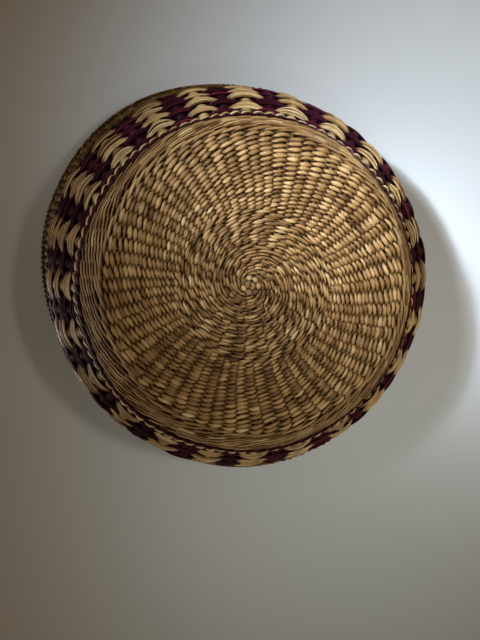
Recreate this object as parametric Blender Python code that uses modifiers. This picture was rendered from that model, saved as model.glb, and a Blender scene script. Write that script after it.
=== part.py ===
"""Round twined basket, built strand by strand around its real stakes.

Eight long stakes cross under the centre of the base and run up both sides to the rim. Added stakes
are tucked into three binding rings, so the count doubles on the base and the wall has 96 stakes.
Flat weft rings lie outside and inside the stakes, and the two-colour band is woven for real: in each
course one strand passes outside three stakes and inside one, and its partner does the opposite.

Units are metres, +Z is up, and the origin is the centre of the face that the basket stands on.
"""

import bmesh
import bpy
from math import cos, pi, sin, tau
from mathutils import Vector

MM = 0.001

# Driving dimensions of the strands
STAKE_WIDTH = 2.4 * MM
STAKE_THICKNESS = 1.6 * MM
STRAND_THICKNESS = 1.6 * MM
CLEARANCE = 0.3 * MM

# Driving dimensions of the outline, measured on the middle surface in which the stakes lie
BASE_FLAT_RADIUS = 103.0 * MM
TURN_REACH = 5.2 * MM
TURN_RISE = 3.7 * MM
LINE_DISTANCE = 22.8 * MM
LOWER_WALL_REACH = 28.6 * MM
LOWER_WALL_RISE = 43.78 * MM
BAND_WALL_REACH = 10.1 * MM
BAND_WALL_RISE = 28.0 * MM
RIM_WALL_REACH = 2.7 * MM
RIM_WALL_RISE = 18.5 * MM

# Driving dimensions of the start, where the stakes cross
CROSS_PITCH = 2.9 * MM
FAN_RADIUS = 17.0 * MM
CENTRE_HOLE_RADIUS = 9.0 * MM

# Driving dimensions of the binding rings and of the rows
FIRST_RING_RADIUS = 24.6 * MM
SPREAD_RING_RADIUS = 53.8 * MM
BINDING_RING_WIDTH = 4.0 * MM
EDGE_WALE_WIDTH = 7.0 * MM
LINE_ROW_HEIGHT = 3.2 * MM
ROW_GAP = 0.9 * MM
BAND_TOP_GAP = 0.6 * MM
WEAVE_SLACK = 0.5 * MM
RIM_ROLL_RADIUS = 5.2 * MM

# Counts
CROSS_STAKES_EACH_WAY = 4
STAKES_PER_UNIT = 4
COURSE_PAIRS = 4
BASE_STEPS = 32
RING_STEPS = 48
ROLL_SIDES = 6

# The narrow course takes this share of a pair's height and the wide course takes the rest
NARROW_COURSE_SHARE = 0.43

# How deep a tucked tip lies in its ring, as a share of the ring's thickness
TUCK_DEPTH_SHARE = 0.4

# Height of a strand at each stake of its unit, as shares of half the course: lowest, highest
OVER_THREE_SHARES = ((-1.0, 0.1), (-1.0, 1.0), (-1.0, 0.1), (-1.0, -0.45))
OVER_ONE_SHARES = ((0.3, 1.0), None, (0.3, 1.0), (-0.4, 1.0))

STRAW = (0.55, 0.40, 0.20)
STRAW_PALE = (0.62, 0.46, 0.24)
STRAW_BROWN = (0.34, 0.22, 0.10)
PURPLE = (0.13, 0.02, 0.06)
REED = (0.48, 0.36, 0.20)

# The outline's radii follow the flat base, stretch by stretch
TURN_RADIUS = BASE_FLAT_RADIUS + TURN_REACH
BAND_MIDDLE_RADIUS = TURN_RADIUS + LOWER_WALL_REACH
BAND_TOP_RADIUS = BAND_MIDDLE_RADIUS + BAND_WALL_REACH
RIM_RADIUS = BAND_TOP_RADIUS + RIM_WALL_REACH

# The ends of the crossed stakes are doubled twice on the base, and the edge adds one for every two
CROSS_ENDS = 4 * CROSS_STAKES_EACH_WAY
FIRST_RING_STAKES = CROSS_ENDS
SPREAD_RING_STAKES = 2 * CROSS_ENDS
EDGE_STAKES = 2 * CROSS_ENDS
WALL_STAKES = CROSS_ENDS + FIRST_RING_STAKES + SPREAD_RING_STAKES + EDGE_STAKES

HALF_STAKE = STAKE_THICKNESS / 2
STRAND_INNER = HALF_STAKE + CLEARANCE
STRAND_OUTER = STRAND_INNER + STRAND_THICKNESS
HALF_GAP = CLEARANCE / 2
TUCK_LENGTH = BINDING_RING_WIDTH / 2

# A ring's flat facets cut in by this much between its corners, so rings outside stakes stand off by it
FACET_SAG = RIM_RADIUS * (1 - cos(pi / RING_STEPS))
WALL_WEFT_INNER = STRAND_INNER + FACET_SAG
WALL_WEFT_OUTER = STRAND_OUTER + FACET_SAG
BASE_LEVEL = WALL_WEFT_OUTER
TURN_HEIGHT = BASE_LEVEL + TURN_RISE
BAND_MIDDLE_HEIGHT = TURN_HEIGHT + LOWER_WALL_RISE
BAND_TOP_HEIGHT = BAND_MIDDLE_HEIGHT + BAND_WALL_RISE
RIM_HEIGHT = BAND_TOP_HEIGHT + RIM_WALL_RISE
UNITS = WALL_STAKES // STAKES_PER_UNIT
STAKE_ANGLE = tau / WALL_STAKES


def clear_scene():
    """Removes whatever objects the open file holds."""
    for obj in list(bpy.data.objects):
        bpy.data.objects.remove(obj, do_unlink=True)


def new_collection(name):
    """Returns a new collection in the scene."""
    collection = bpy.data.collections.new(name)
    bpy.context.scene.collection.children.link(collection)
    return collection


def new_material(name, colour, roughness):
    """Returns a Principled material of one colour."""
    material = bpy.data.materials.new(name)
    material.use_nodes = True
    shader = material.node_tree.nodes["Principled BSDF"]
    shader.inputs["Base Color"].default_value = (*colour, 1.0)
    shader.inputs["Roughness"].default_value = roughness
    shader.inputs["Metallic"].default_value = 0.0
    material.diffuse_color = (*colour, 1.0)
    return material


def new_object(name, mesh, material, collection):
    """Returns an object that shows the mesh in the material."""
    obj = bpy.data.objects.new(name, mesh)
    collection.objects.link(obj)
    mesh.materials.clear()
    mesh.materials.append(material)
    return obj


# The middle surface as (radius, height) points from the centre of the base to the tips of the stakes
OUTLINE = [
    Vector((0, BASE_LEVEL)),
    Vector((BASE_FLAT_RADIUS, BASE_LEVEL)),
    Vector((TURN_RADIUS, TURN_HEIGHT)),
    Vector((BAND_MIDDLE_RADIUS, BAND_MIDDLE_HEIGHT)),
    Vector((BAND_TOP_RADIUS, BAND_TOP_HEIGHT)),
    Vector((RIM_RADIUS, RIM_HEIGHT)),
]
CENTRE, FLAT_END, TURN_END, BAND_MIDDLE, BAND_TOP, RIM = range(len(OUTLINE))


def run_length(first, last):
    """Returns the length of the middle outline between two of its points."""
    return sum((OUTLINE[i + 1] - OUTLINE[i]).length for i in range(first, last))


def place_on(index, distance):
    """Returns a point, the upward run and the outward normal, a distance past an outline point."""
    last = len(OUTLINE) - 2
    while index < last and distance > (OUTLINE[index + 1] - OUTLINE[index]).length:
        distance -= (OUTLINE[index + 1] - OUTLINE[index]).length
        index += 1
    run = (OUTLINE[index + 1] - OUTLINE[index]).normalized()
    return OUTLINE[index] + run * distance, run, Vector((run.y, -run.x))


def offset_run(points, distance):
    """Returns a run of outline points moved outwards by a distance, with mitred corners."""
    moved = []
    for i, point in enumerate(points):
        before = (points[i] - points[i - 1]).normalized() if i else None
        after = (points[i + 1] - points[i]).normalized() if i + 1 < len(points) else None
        normals = [Vector((run.y, -run.x)) for run in (before, after) if run]
        mitre = sum(normals, Vector((0, 0))).normalized()
        moved.append(point + mitre * (distance / mitre.dot(normals[0])))
    return moved


def run_points(start, end):
    """Returns the middle outline between two places, each given as (outline index, distance)."""
    first, last = place_on(*start)[0], place_on(*end)[0]
    inner = [p for i, p in enumerate(OUTLINE) if start[0] < i <= end[0]]
    points = [first] + inner + [last]
    return [p for i, p in enumerate(points) if i == 0 or (p - points[i - 1]).length > CLEARANCE]


def turned(name, profile, steps, material, collection):
    """Returns a closed ring: the (radius, height) profile turned about Z with a Screw modifier.

    The profile runs down its outer side first and back up its inner side.
    """
    build = bmesh.new()
    corners = [build.verts.new((p.x, 0, p.y)) for p in profile]
    for i, corner in enumerate(corners):
        build.edges.new((corner, corners[(i + 1) % len(corners)]))
    mesh = bpy.data.meshes.new(name)
    build.to_mesh(mesh)
    build.free()
    obj = new_object(name, mesh, material, collection)
    screw = obj.modifiers.new("Turn", "SCREW")
    screw.axis = "Z"
    screw.angle = tau
    screw.steps = steps
    screw.render_steps = steps
    screw.use_merge_vertices = True
    screw.merge_threshold = 0.01 * MM
    screw.use_normal_calculate = False
    screw.use_smooth_shade = True
    return obj


def weft_shell(name, start, end, near, far, steps, material, collection):
    """Returns a weft ring: the stretch of wall between two places, from offset near to offset far."""
    points = run_points(start, end)
    outer = offset_run(points, far)
    inner = offset_run(points, near)
    return turned(name, outer[::-1] + inner, steps, material, collection)


def around(point, angle):
    """Returns a (radius, height) point or direction turned to an angle about Z."""
    return Vector((point.x * cos(angle), point.x * sin(angle), point.y))


def swept(name, sections, closed, material, collection):
    """Returns a solid lofted through three-cornered sections: a flat back and a crowned front."""
    build = bmesh.new()
    add_sweep(build, sections, closed)
    mesh = bpy.data.meshes.new(name)
    build.to_mesh(mesh)
    build.free()
    return new_object(name, mesh, material, collection)


def add_sweep(build, sections, closed):
    """Lofts one run of sections into a bmesh, with end caps where the run is open."""
    rings = [[build.verts.new(corner) for corner in section] for section in sections]
    count = len(rings)
    faces = []
    for i in range(count if closed else count - 1):
        ring, following = rings[i], rings[(i + 1) % count]
        for k in range(len(ring)):
            m = (k + 1) % len(ring)
            faces.append(build.faces.new((ring[k], ring[m], following[m], following[k])))
    if not closed:
        faces.append(build.faces.new(rings[0][::-1]))
        faces.append(build.faces.new(rings[-1]))
    bmesh.ops.recalc_face_normals(build, faces=faces)


def stake_section(centre, across, outward):
    """Returns the three corners of a split stake: its flat side faces into the basket."""
    side = across * (STAKE_WIDTH / 2)
    back = centre - outward * HALF_STAKE
    return (back - side, back + side, centre + outward * HALF_STAKE)


def wall_normal(index):
    """Returns the mitred outward direction at an outline point, so that a bend keeps its thickness."""
    point = OUTLINE[index]
    reach = offset_run(OUTLINE, HALF_STAKE)[index]
    return (reach - point) / HALF_STAKE


def arm_sections(angle, first):
    """Returns the sections of one arm from outline point first up to the rim."""
    across = Vector((-sin(angle), cos(angle), 0))
    return [
        stake_section(around(OUTLINE[i], angle), across, around(wall_normal(i), angle))
        for i in range(first, len(OUTLINE))
    ]


def through_stake(number, upper, material, collection):
    """Returns one long stake: up one wall, straight across the base's centre and up the other wall.

    The lower four run along X and the upper four along Y, stepping over them at the centre.
    """
    slot = number - (CROSS_STAKES_EACH_WAY - 1) / 2
    offset = slot * CROSS_PITCH
    fan_angle = slot * tau / CROSS_ENDS
    half_square = (CROSS_STAKES_EACH_WAY - 1) / 2 * CROSS_PITCH + STAKE_WIDTH / 2 + CLEARANCE
    step = Vector((0, 0, STAKE_THICKNESS + CLEARANCE)) if upper else Vector((0, 0, 0))
    turn = pi / 2 if upper else 0.0
    down = Vector((0, 0, -1))

    def placed(x, y):
        return Vector((x * cos(turn) - y * sin(turn), x * sin(turn) + y * cos(turn), BASE_LEVEL))

    sections = []
    for way in (-1, 1):
        angle = turn + (fan_angle if way > 0 else pi - fan_angle)
        radial = Vector((cos(angle), sin(angle), 0))
        across = Vector((-sin(angle), cos(angle), 0))
        middle_side = Vector((-sin(turn), cos(turn), 0)) * way
        fan = radial * FAN_RADIUS + Vector((0, 0, BASE_LEVEL))
        inner = stake_section(placed(way * half_square, offset) + step, middle_side, down)
        arm = [inner, stake_section(fan, across, down)] + arm_sections(angle, FLAT_END)
        if way < 0:
            arm = [(s[1], s[0], s[2]) for s in arm[::-1]]
        sections += arm
    name = f"{'upper' if upper else 'lower'}_long_stake_{number + 1}"
    return swept(name, sections, False, material, collection)


def joined_arms(name, tips, tuck, first, material, collection):
    """Returns one mesh object of separate arms, each with its tip tucked into a ring.

    tips holds a pair of angles for each arm, at its tip and on the wall. tuck is a list of
    (place on the outline, depth below the middle surface) for the sections before outline point first.
    """
    build = bmesh.new()
    for tip_angle, wall_angle in tips:
        across = Vector((-sin(tip_angle), cos(tip_angle), 0))
        sections = []
        for where, depth in tuck:
            point, _, normal = place_on(*where)
            centre = around(point + normal * depth, tip_angle)
            sections.append(stake_section(centre, across, around(normal, tip_angle)))
        add_sweep(build, sections + arm_sections(wall_angle, first), False)
    mesh = bpy.data.meshes.new(name)
    build.to_mesh(mesh)
    build.free()
    return new_object(name, mesh, material, collection)


def with_arms(ring, tips, tuck, first, material, tools):
    """Fuses a weft ring with the added stakes whose tips are tucked into it."""
    arms = joined_arms(ring.name + "_arms", tips, tuck, first, material, tools)
    arms.hide_render = True
    arms.display_type = "WIRE"
    union = ring.modifiers.new("Tucked stakes", "BOOLEAN")
    union.operation = "UNION"
    union.solver = "EXACT"
    union.object = arms


def strand_section(place, angle, outside, shares, half_height):
    """Returns a strand's three corners at a stake: outside or inside it, between two height shares."""
    centre, run, normal = place
    back = STRAND_INNER if outside else -STRAND_OUTER - WEAVE_SLACK
    low = centre + run * (shares[0] * half_height)
    high = centre + run * (shares[1] * half_height)
    crown = (low + high) / 2 + normal * (back + STRAND_THICKNESS)
    return tuple(around(p, angle) for p in (low + normal * back, high + normal * back, crown))


def woven_strand(name, place, half_height, over, shares, shift, material, collection):
    """Returns one strand of a two-colour course as a closed ring that weaves round the stakes.

    over says for each stake of a unit whether the strand passes outside it, shares gives its height
    there (None where it needs no section), and shift turns the course by that many stakes.
    """
    sections = []
    for unit in range(UNITS):
        for k in range(STAKES_PER_UNIT):
            if shares[k] is None:
                continue
            angle = (unit * STAKES_PER_UNIT + k + shift) * STAKE_ANGLE
            sections.append(strand_section(place, angle, over[k], shares[k], half_height))
    return swept(name, sections, True, material, collection)


def band_course(number, distance, height, natural_wide, finishes, collection):
    """Builds the two strands of one course: one goes over three stakes, the other over one."""
    place = place_on(TURN_END, distance + height / 2)
    half_height = (height - ROW_GAP) / 2
    over_three = (True, True, True, False)
    over_one = (False, False, False, True)
    shift = 0 if natural_wide else 2
    wide, narrow = ("natural", "purple") if natural_wide else ("purple", "natural")
    for colour, over, shares in ((wide, over_three, OVER_THREE_SHARES), (narrow, over_one, OVER_ONE_SHARES)):
        name = f"band_course_{number}_{colour}_strand"
        woven_strand(name, place, half_height, over, shares, shift, finishes[colour], collection)


def build_band(finishes, collection):
    """Builds the courses of the check band from the line row up."""
    start = LINE_DISTANCE + LINE_ROW_HEIGHT / 2
    pair = (run_length(TURN_END, BAND_TOP) - start - BAND_TOP_GAP) / COURSE_PAIRS
    narrow = pair * NARROW_COURSE_SHARE
    for i in range(COURSE_PAIRS):
        base = start + i * pair
        band_course(2 * i + 1, base, narrow, False, finishes, collection)
        band_course(2 * i + 2, base + narrow, pair - narrow, True, finishes, collection)


def build_base_wefts(straw, collection):
    """Builds the flat weft rings of the base, outside and inside the stakes."""
    level = CENTRE
    spans = (
        ("base_centre_weft", CENTRE_HOLE_RADIUS, FIRST_RING_RADIUS),
        ("base_middle_weft", FIRST_RING_RADIUS + BINDING_RING_WIDTH, SPREAD_RING_RADIUS),
        ("base_outer_weft", SPREAD_RING_RADIUS + BINDING_RING_WIDTH, BASE_FLAT_RADIUS - EDGE_WALE_WIDTH / 2),
    )
    for name, first, last in spans:
        start, end = (level, first + HALF_GAP), (level, last - HALF_GAP)
        weft_shell(name, start, end, STRAND_INNER, STRAND_OUTER, BASE_STEPS, straw, collection)
    inner_spans = (
        ("inside_base_centre_weft", FAN_RADIUS, SPREAD_RING_RADIUS),
        ("inside_base_outer_weft", SPREAD_RING_RADIUS, BASE_FLAT_RADIUS - EDGE_WALE_WIDTH / 2),
    )
    for name, first, last in inner_spans:
        start, end = (level, first + HALF_GAP), (level, last - HALF_GAP)
        weft_shell(name, start, end, -STRAND_OUTER, -STRAND_INNER, BASE_STEPS, straw, collection)


def build_base_rings(straw, collection, tools):
    """Builds the two rings of the flat base where stakes are added, with those stakes.

    The stakes from the spread ring slant a little on the base, to leave even room on the wall.
    """
    every = WALL_STAKES // CROSS_ENDS
    first_tips = [(i * every * STAKE_ANGLE,) * 2 for i in range(FIRST_RING_STAKES)]
    half = every / 2
    spread_tips = [
        ((i * half + half / 2) * STAKE_ANGLE, (i * half + 1) * STAKE_ANGLE) for i in range(SPREAD_RING_STAKES)
    ]
    sunk = STRAND_INNER + STRAND_THICKNESS * TUCK_DEPTH_SHARE
    for name, radius, tips in (
        ("first_ring_with_16_stakes", FIRST_RING_RADIUS, first_tips),
        ("spread_ring_with_32_stakes", SPREAD_RING_RADIUS, spread_tips),
    ):
        start, end = radius + HALF_GAP, radius + BINDING_RING_WIDTH - HALF_GAP
        ring = weft_shell(
            name, (CENTRE, start), (CENTRE, end), STRAND_INNER, STRAND_OUTER, BASE_STEPS, straw, collection
        )
        middle = (start + end) / 2
        tuck = (((CENTRE, middle), sunk), ((CENTRE, middle + TUCK_LENGTH), 0))
        with_arms(ring, tips, tuck, FLAT_END, straw, tools)


def build_edge_wale(straw, collection):
    """Builds the wale at the base's edge, which the basket stands on."""
    start = (CENTRE, BASE_FLAT_RADIUS - EDGE_WALE_WIDTH / 2 + HALF_GAP)
    end = (FLAT_END, EDGE_WALE_WIDTH / 2 - HALF_GAP)
    weft_shell("edge_wale", start, end, WALL_WEFT_INNER, WALL_WEFT_OUTER, RING_STEPS, straw, collection)


def build_lower_side(straw, purple, collection, tools):
    """Builds the rows between the edge and the band, with the 32 stakes added at the turn."""
    line_top = LINE_DISTANCE + LINE_ROW_HEIGHT / 2
    line_low = LINE_DISTANCE - LINE_ROW_HEIGHT / 2
    line_foot = line_low - LINE_ROW_HEIGHT
    rows = (
        ("lower_side_weft_with_32_stakes", (FLAT_END, EDGE_WALE_WIDTH / 2), line_foot, straw),
        ("line_purple_strand", (TURN_END, line_foot), line_low, purple),
        ("line_natural_strand", (TURN_END, line_low), line_top, straw),
    )
    rings = []
    for name, start, top, material in rows:
        first, last = (start[0], start[1] + HALF_GAP), (TURN_END, top - HALF_GAP)
        rings.append(
            weft_shell(name, first, last, WALL_WEFT_INNER, WALL_WEFT_OUTER, RING_STEPS, material, collection)
        )
    every = WALL_STAKES // EDGE_STAKES
    tips = [(((i + 1) * every - 1) * STAKE_ANGLE,) * 2 for i in range(EDGE_STAKES)]
    sunk = WALL_WEFT_INNER + STRAND_THICKNESS * TUCK_DEPTH_SHARE
    tuck = (((FLAT_END, run_length(FLAT_END, TURN_END) - TUCK_LENGTH), sunk),)
    with_arms(rings[0], tips, tuck, TURN_END, straw, tools)
    inner_start = (CENTRE, BASE_FLAT_RADIUS - EDGE_WALE_WIDTH / 2 + HALF_GAP)
    inner_end = (TURN_END, line_top - HALF_GAP)
    weft_shell(
        "inside_lower_weft", inner_start, inner_end, -STRAND_OUTER, -STRAND_INNER, BASE_STEPS, straw, collection
    )


def build_upper_side(straw, collection):
    """Builds the rows between the band and the rim, outside and inside the stakes."""
    start, end = (BAND_TOP, HALF_GAP), (BAND_TOP, run_length(BAND_TOP, RIM) - HALF_GAP)
    weft_shell(
        "upper_side_weft", start, end, WALL_WEFT_INNER, WALL_WEFT_OUTER, RING_STEPS, straw, collection
    )
    weft_shell("inside_upper_weft", start, end, -STRAND_OUTER, -STRAND_INNER, BASE_STEPS, straw, collection)


def build_rim(straw, collection):
    """Builds the rolled rim, which sits on the tips of the stakes with a flat side down."""
    point, run, normal = place_on(BAND_TOP, run_length(BAND_TOP, RIM))
    flat = RIM_ROLL_RADIUS * cos(pi / ROLL_SIDES)
    centre = point + run * (flat + CLEARANCE)
    corners = []
    for i in range(ROLL_SIDES):
        angle = -i * tau / ROLL_SIDES
        corners.append(centre + normal * (cos(angle) * RIM_ROLL_RADIUS) + run * (sin(angle) * RIM_ROLL_RADIUS))
    turned("rim_roll", corners, RING_STEPS, straw, collection)


def build_all():
    """Builds the whole basket."""
    clear_scene()
    parts = new_collection("round_basket")
    tools = new_collection("joined_shapes")
    straw = new_material("straw_weft", STRAW, 0.7)
    pale = new_material("pale_weft", STRAW_PALE, 0.68)
    brown = new_material("rim_weft", STRAW_BROWN, 0.75)
    reed = new_material("stake_reed", REED, 0.72)
    purple = new_material("purple_weft", PURPLE, 0.6)
    for upper in (False, True):
        for number in range(CROSS_STAKES_EACH_WAY):
            through_stake(number, upper, reed, parts)
    build_base_wefts(straw, parts)
    build_base_rings(straw, parts, tools)
    build_edge_wale(straw, parts)
    build_lower_side(straw, purple, parts, tools)
    build_band({"natural": pale, "purple": purple}, parts)
    build_upper_side(brown, parts)
    build_rim(brown, parts)


build_all()
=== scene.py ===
"""Looks of the round twined basket: every straw of the weave, the studio and the camera.

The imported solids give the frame. Each of their soft rings and stakes is replaced here by the real weave:
two straws twined round the stakes in the rows of the base and under the rim, three straws in the rows at
the base's edge and on the lower wall, bundles of straws in the two-colour band, and fine rows over the
rolled rim. All of them lie on one outline, the same as the solids', which a hand-made unevenness then
bends a little.
"""

import logging
from dataclasses import dataclass, field
from enum import Enum
from math import cos, pi, radians, sin, tau
from typing import Iterable, Sequence

import bmesh
import bpy
import numpy as np
from mathutils import Matrix, Vector


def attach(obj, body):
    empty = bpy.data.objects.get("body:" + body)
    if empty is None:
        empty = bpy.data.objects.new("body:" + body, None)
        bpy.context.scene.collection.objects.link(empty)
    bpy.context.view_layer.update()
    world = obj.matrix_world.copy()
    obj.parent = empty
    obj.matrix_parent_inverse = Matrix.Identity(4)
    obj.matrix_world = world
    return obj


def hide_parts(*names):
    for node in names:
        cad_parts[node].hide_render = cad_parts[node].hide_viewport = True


LOG = logging.getLogger("round_basket")
MM = 0.001
BODY = "root"
Triple = tuple[float, float, float]
Keys = tuple[tuple[float, float], ...]
Stops = tuple[tuple[float, Triple], ...]

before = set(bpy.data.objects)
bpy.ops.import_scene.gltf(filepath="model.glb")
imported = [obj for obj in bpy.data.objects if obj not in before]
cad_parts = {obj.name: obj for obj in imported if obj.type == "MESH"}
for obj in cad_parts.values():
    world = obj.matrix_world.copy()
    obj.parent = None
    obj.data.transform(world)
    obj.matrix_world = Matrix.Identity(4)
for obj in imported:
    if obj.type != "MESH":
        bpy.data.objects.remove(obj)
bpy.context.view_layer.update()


class Colour(Enum):
    """The two straw colours of the check band."""

    NATURAL = "natural"
    PURPLE = "purple"


@dataclass
class BasketOutline:
    """The middle surface of the basket, in which the stakes lie, as a run from the centre to the rim."""

    base_level: float = 3.02 * MM
    flat_radius: float = 103.0 * MM
    turn_reach: float = 5.2 * MM
    turn_rise: float = 3.7 * MM
    lower_wall_reach: float = 28.6 * MM
    lower_wall_rise: float = 43.78 * MM
    band_wall_reach: float = 10.1 * MM
    band_wall_rise: float = 28.0 * MM
    rim_wall_reach: float = 2.7 * MM
    rim_wall_rise: float = 18.5 * MM
    corner_ease: float = 9.0 * MM
    step: float = 0.5 * MM
    overrun: float = 14.0 * MM

    def __post_init__(self) -> None:
        """Works out the eased outline once, as arrays over the run."""
        reaches = np.array([self.flat_radius, self.turn_reach, self.lower_wall_reach,
                            self.band_wall_reach, self.rim_wall_reach])
        rises = np.array([0.0, self.turn_rise, self.lower_wall_rise, self.band_wall_rise, self.rim_wall_rise])
        lengths = np.hypot(reaches, rises)
        self.marks = np.concatenate([[0.0], np.cumsum(lengths)])
        self.runs = np.arange(0.0, self.marks[-1] + self.overrun, self.step)
        stretch = np.clip(np.searchsorted(self.marks, self.runs, side="right") - 1, 0, len(lengths) - 1)
        slope = np.arctan2(rises, reaches)[stretch]
        reach = int(self.corner_ease / self.step)
        padded = np.concatenate([np.full(reach, slope[0]), slope, np.full(reach, slope[-1])])
        kernel = np.hanning(2 * reach + 1)
        self.slopes = np.convolve(padded, kernel / kernel.sum(), mode="valid")
        steps_out, steps_up = (way(self.slopes[:-1]) * self.step for way in (np.cos, np.sin))
        self.radii = np.concatenate([[0.0], np.cumsum(steps_out)])
        self.heights = self.base_level + np.concatenate([[0.0], np.cumsum(steps_up)])

    @property
    def turn_end(self) -> float:
        """The run at which the lower wall starts."""
        return float(self.marks[2])

    @property
    def band_top(self) -> float:
        """The run at which the check band ends."""
        return float(self.marks[4])

    @property
    def rim(self) -> float:
        """The run at which the stakes end."""
        return float(self.marks[5])


@dataclass(frozen=True)
class Lobe:
    """A swelling of the wall that repeats round the basket and grows towards the rim."""

    count: int
    size: float
    angle: float
    start: float
    end: float


@dataclass
class HandShape:
    """How the real basket departs from a turned form, from the base to the rim.

    Waves are given as how many go round the basket, their start angle and their share.
    """

    runs: tuple[float, ...] = (0.0, 50 * MM, 108 * MM, 129 * MM, 158 * MM, 187 * MM, 209 * MM)
    shift_x: tuple[float, ...] = (-3.4 * MM, 0.0, 0.7 * MM, -1.7 * MM, -1.0 * MM, -2.3 * MM, -4.7 * MM)
    shift_y: tuple[float, ...] = (-0.6 * MM, 0.0, -2.7 * MM, 0.0, -1.9 * MM, -2.8 * MM, -2.0 * MM)
    grow: tuple[float, ...] = (0.0, 0.0, 1.2 * MM, 1.3 * MM, 2.0 * MM, -0.7 * MM, -2.9 * MM)
    lobes: tuple[Lobe, ...] = (
        Lobe(2, 1.0 * MM, radians(-29), 115 * MM, 165 * MM),
        Lobe(2, 6.6 * MM, radians(49), 165 * MM, 209 * MM),
        Lobe(3, 0.6 * MM, radians(-40), 165 * MM, 209 * MM),
    )
    twist: float = radians(4.5)
    twist_start: float = 50 * MM
    twist_end: float = 112 * MM
    lean: float = radians(1.8)
    lean_angle: float = radians(-151.0)
    lean_start: float = 104 * MM
    lean_end: float = 150 * MM
    stake_wander: float = radians(0.5)
    wander_waves: tuple[Triple, ...] = ((5, 0.7, 1 / 1.7), (9, 2.1, 0.7 / 1.7))
    surface_wave: float = 0.45 * MM
    surface_count: int = 7
    surface_turn: float = 30.0
    rim_wave: float = 1.1 * MM
    rim_wave_start: float = 150 * MM
    rim_wave_end: float = 209 * MM
    rim_waves: tuple[Triple, ...] = ((2, 1.0, 0.6), (3, 4.0, 0.4))

    def apply(self, angle: np.ndarray, run: np.ndarray, radius: np.ndarray, height: np.ndarray) -> np.ndarray:
        """Bends turned places into the uneven form.

        Args:
            angle: angles about Z.
            run: runs along the outline.
            radius: radii of the turned form.
            height: heights of the turned form.

        Returns:
            The places as an array of x, y and z.
        """
        on_base = _ease(run / self.lean_start)
        turned = angle + self.twist * (1 - _between(run, self.twist_start, self.twist_end))
        lean = self.lean * _between(run, self.lean_start, self.lean_end)
        turned = turned + lean * np.sin(angle + self.lean_angle)
        turned = turned + self.stake_wander * on_base * _ripple(angle, self.wander_waves)
        swell = np.interp(run, self.runs, self.grow)
        for lobe in self.lobes:
            swell = swell + lobe.size * _between(run, lobe.start, lobe.end) * np.cos(
                lobe.count * (turned - lobe.angle))
        start = self.surface_turn * run / self.lean_start
        radius = radius + swell + self.surface_wave * on_base * np.sin(self.surface_count * angle + start)
        rise = self.rim_wave * _between(run, self.rim_wave_start, self.rim_wave_end)
        height = height + rise * _ripple(angle, self.rim_waves)
        x = radius * np.cos(turned) + np.interp(run, self.runs, self.shift_x)
        y = radius * np.sin(turned) + np.interp(run, self.runs, self.shift_y)
        return np.stack([x, y, height], axis=-1)


@dataclass
class BasketForm:
    """The uneven surface on which every straw is laid."""

    outline: BasketOutline = field(default_factory=BasketOutline)
    hand: HandShape = field(default_factory=HandShape)

    def place(self, angle: np.ndarray, run: np.ndarray, out: np.ndarray) -> np.ndarray:
        """Places points on the form.

        Args:
            angle: angles about Z.
            run: runs along the outline.
            out: distances outwards from the middle surface.

        Returns:
            The places as an array of x, y and z.
        """
        angle, run, out = np.broadcast_arrays(angle, run, out)
        slope = np.interp(run, self.outline.runs, self.outline.slopes)
        radius = np.interp(run, self.outline.runs, self.outline.radii) + out * np.sin(slope)
        height = np.interp(run, self.outline.runs, self.outline.heights) - out * np.cos(slope)
        return self.hand.apply(angle, run, radius, height)


def _ease(share: np.ndarray) -> np.ndarray:
    """Returns a smooth step of a share between 0 and 1."""
    share = np.clip(share, 0.0, 1.0)
    return share * share * (3 - 2 * share)


def _between(run: np.ndarray, start: float, end: float) -> np.ndarray:
    """Returns how far runs are between a start and an end, eased."""
    return _ease((run - start) / (end - start))


def _ripple(angle: np.ndarray, waves: Iterable[Triple]) -> np.ndarray:
    """Returns the sum of waves round the basket, each a count, a start and a size."""
    return sum(size * np.sin(count * angle + start) for count, start, size in waves)


def _random_ripple(rng: np.random.Generator, angle: np.ndarray, counts: Sequence[int],
                   size: float) -> np.ndarray:
    """Returns the sum of waves of one size with these counts, each from a random start."""
    starts = rng.uniform(0, tau, len(counts))
    return _ripple(angle, [(count, start, size) for count, start in zip(counts, starts)])


def _cycle(where: np.ndarray, period: float, keys: Keys) -> np.ndarray:
    """Eases between keyed values that repeat.

    Args:
        where: places along the strand, in stakes.
        period: how many stakes the pattern takes.
        keys: rising (place, value) pairs within one period.

    Returns:
        The value at each place.
    """
    places = np.array([k[0] for k in keys] + [keys[0][0] + period])
    values = np.array([k[1] for k in keys] + [keys[0][1]])
    local = (where - places[0]) % period + places[0]
    index = np.clip(np.searchsorted(places, local, side="right") - 1, 0, len(keys) - 1)
    share = (local - places[index]) / (places[index + 1] - places[index])
    return values[index] + (values[index + 1] - values[index]) * (0.5 - 0.5 * np.cos(pi * share))


def _unit(vectors: np.ndarray) -> np.ndarray:
    """Returns vectors of length one."""
    return vectors / np.maximum(np.linalg.norm(vectors, axis=-1, keepdims=True), 1e-12)


def _dive_shade(swell: np.ndarray, most: float = 0.9, power: float = 1.3) -> np.ndarray:
    """Returns the painted shade of a straw where it dives between its neighbours, from its swell there."""
    return most * (1 - np.clip(swell, 0, 1)) ** power


def _inside(out: np.ndarray) -> np.ndarray:
    """Returns how far a straw lies on the inner side of the stakes, from 0 to 1."""
    return _ease(0.5 - 0.8 * out)


def _link(name: str, data: bpy.types.ID) -> bpy.types.Object:
    """Adds an object with this data to the scene and returns it."""
    obj = bpy.data.objects.new(name, data)
    bpy.context.scene.collection.objects.link(obj)
    return obj


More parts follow.
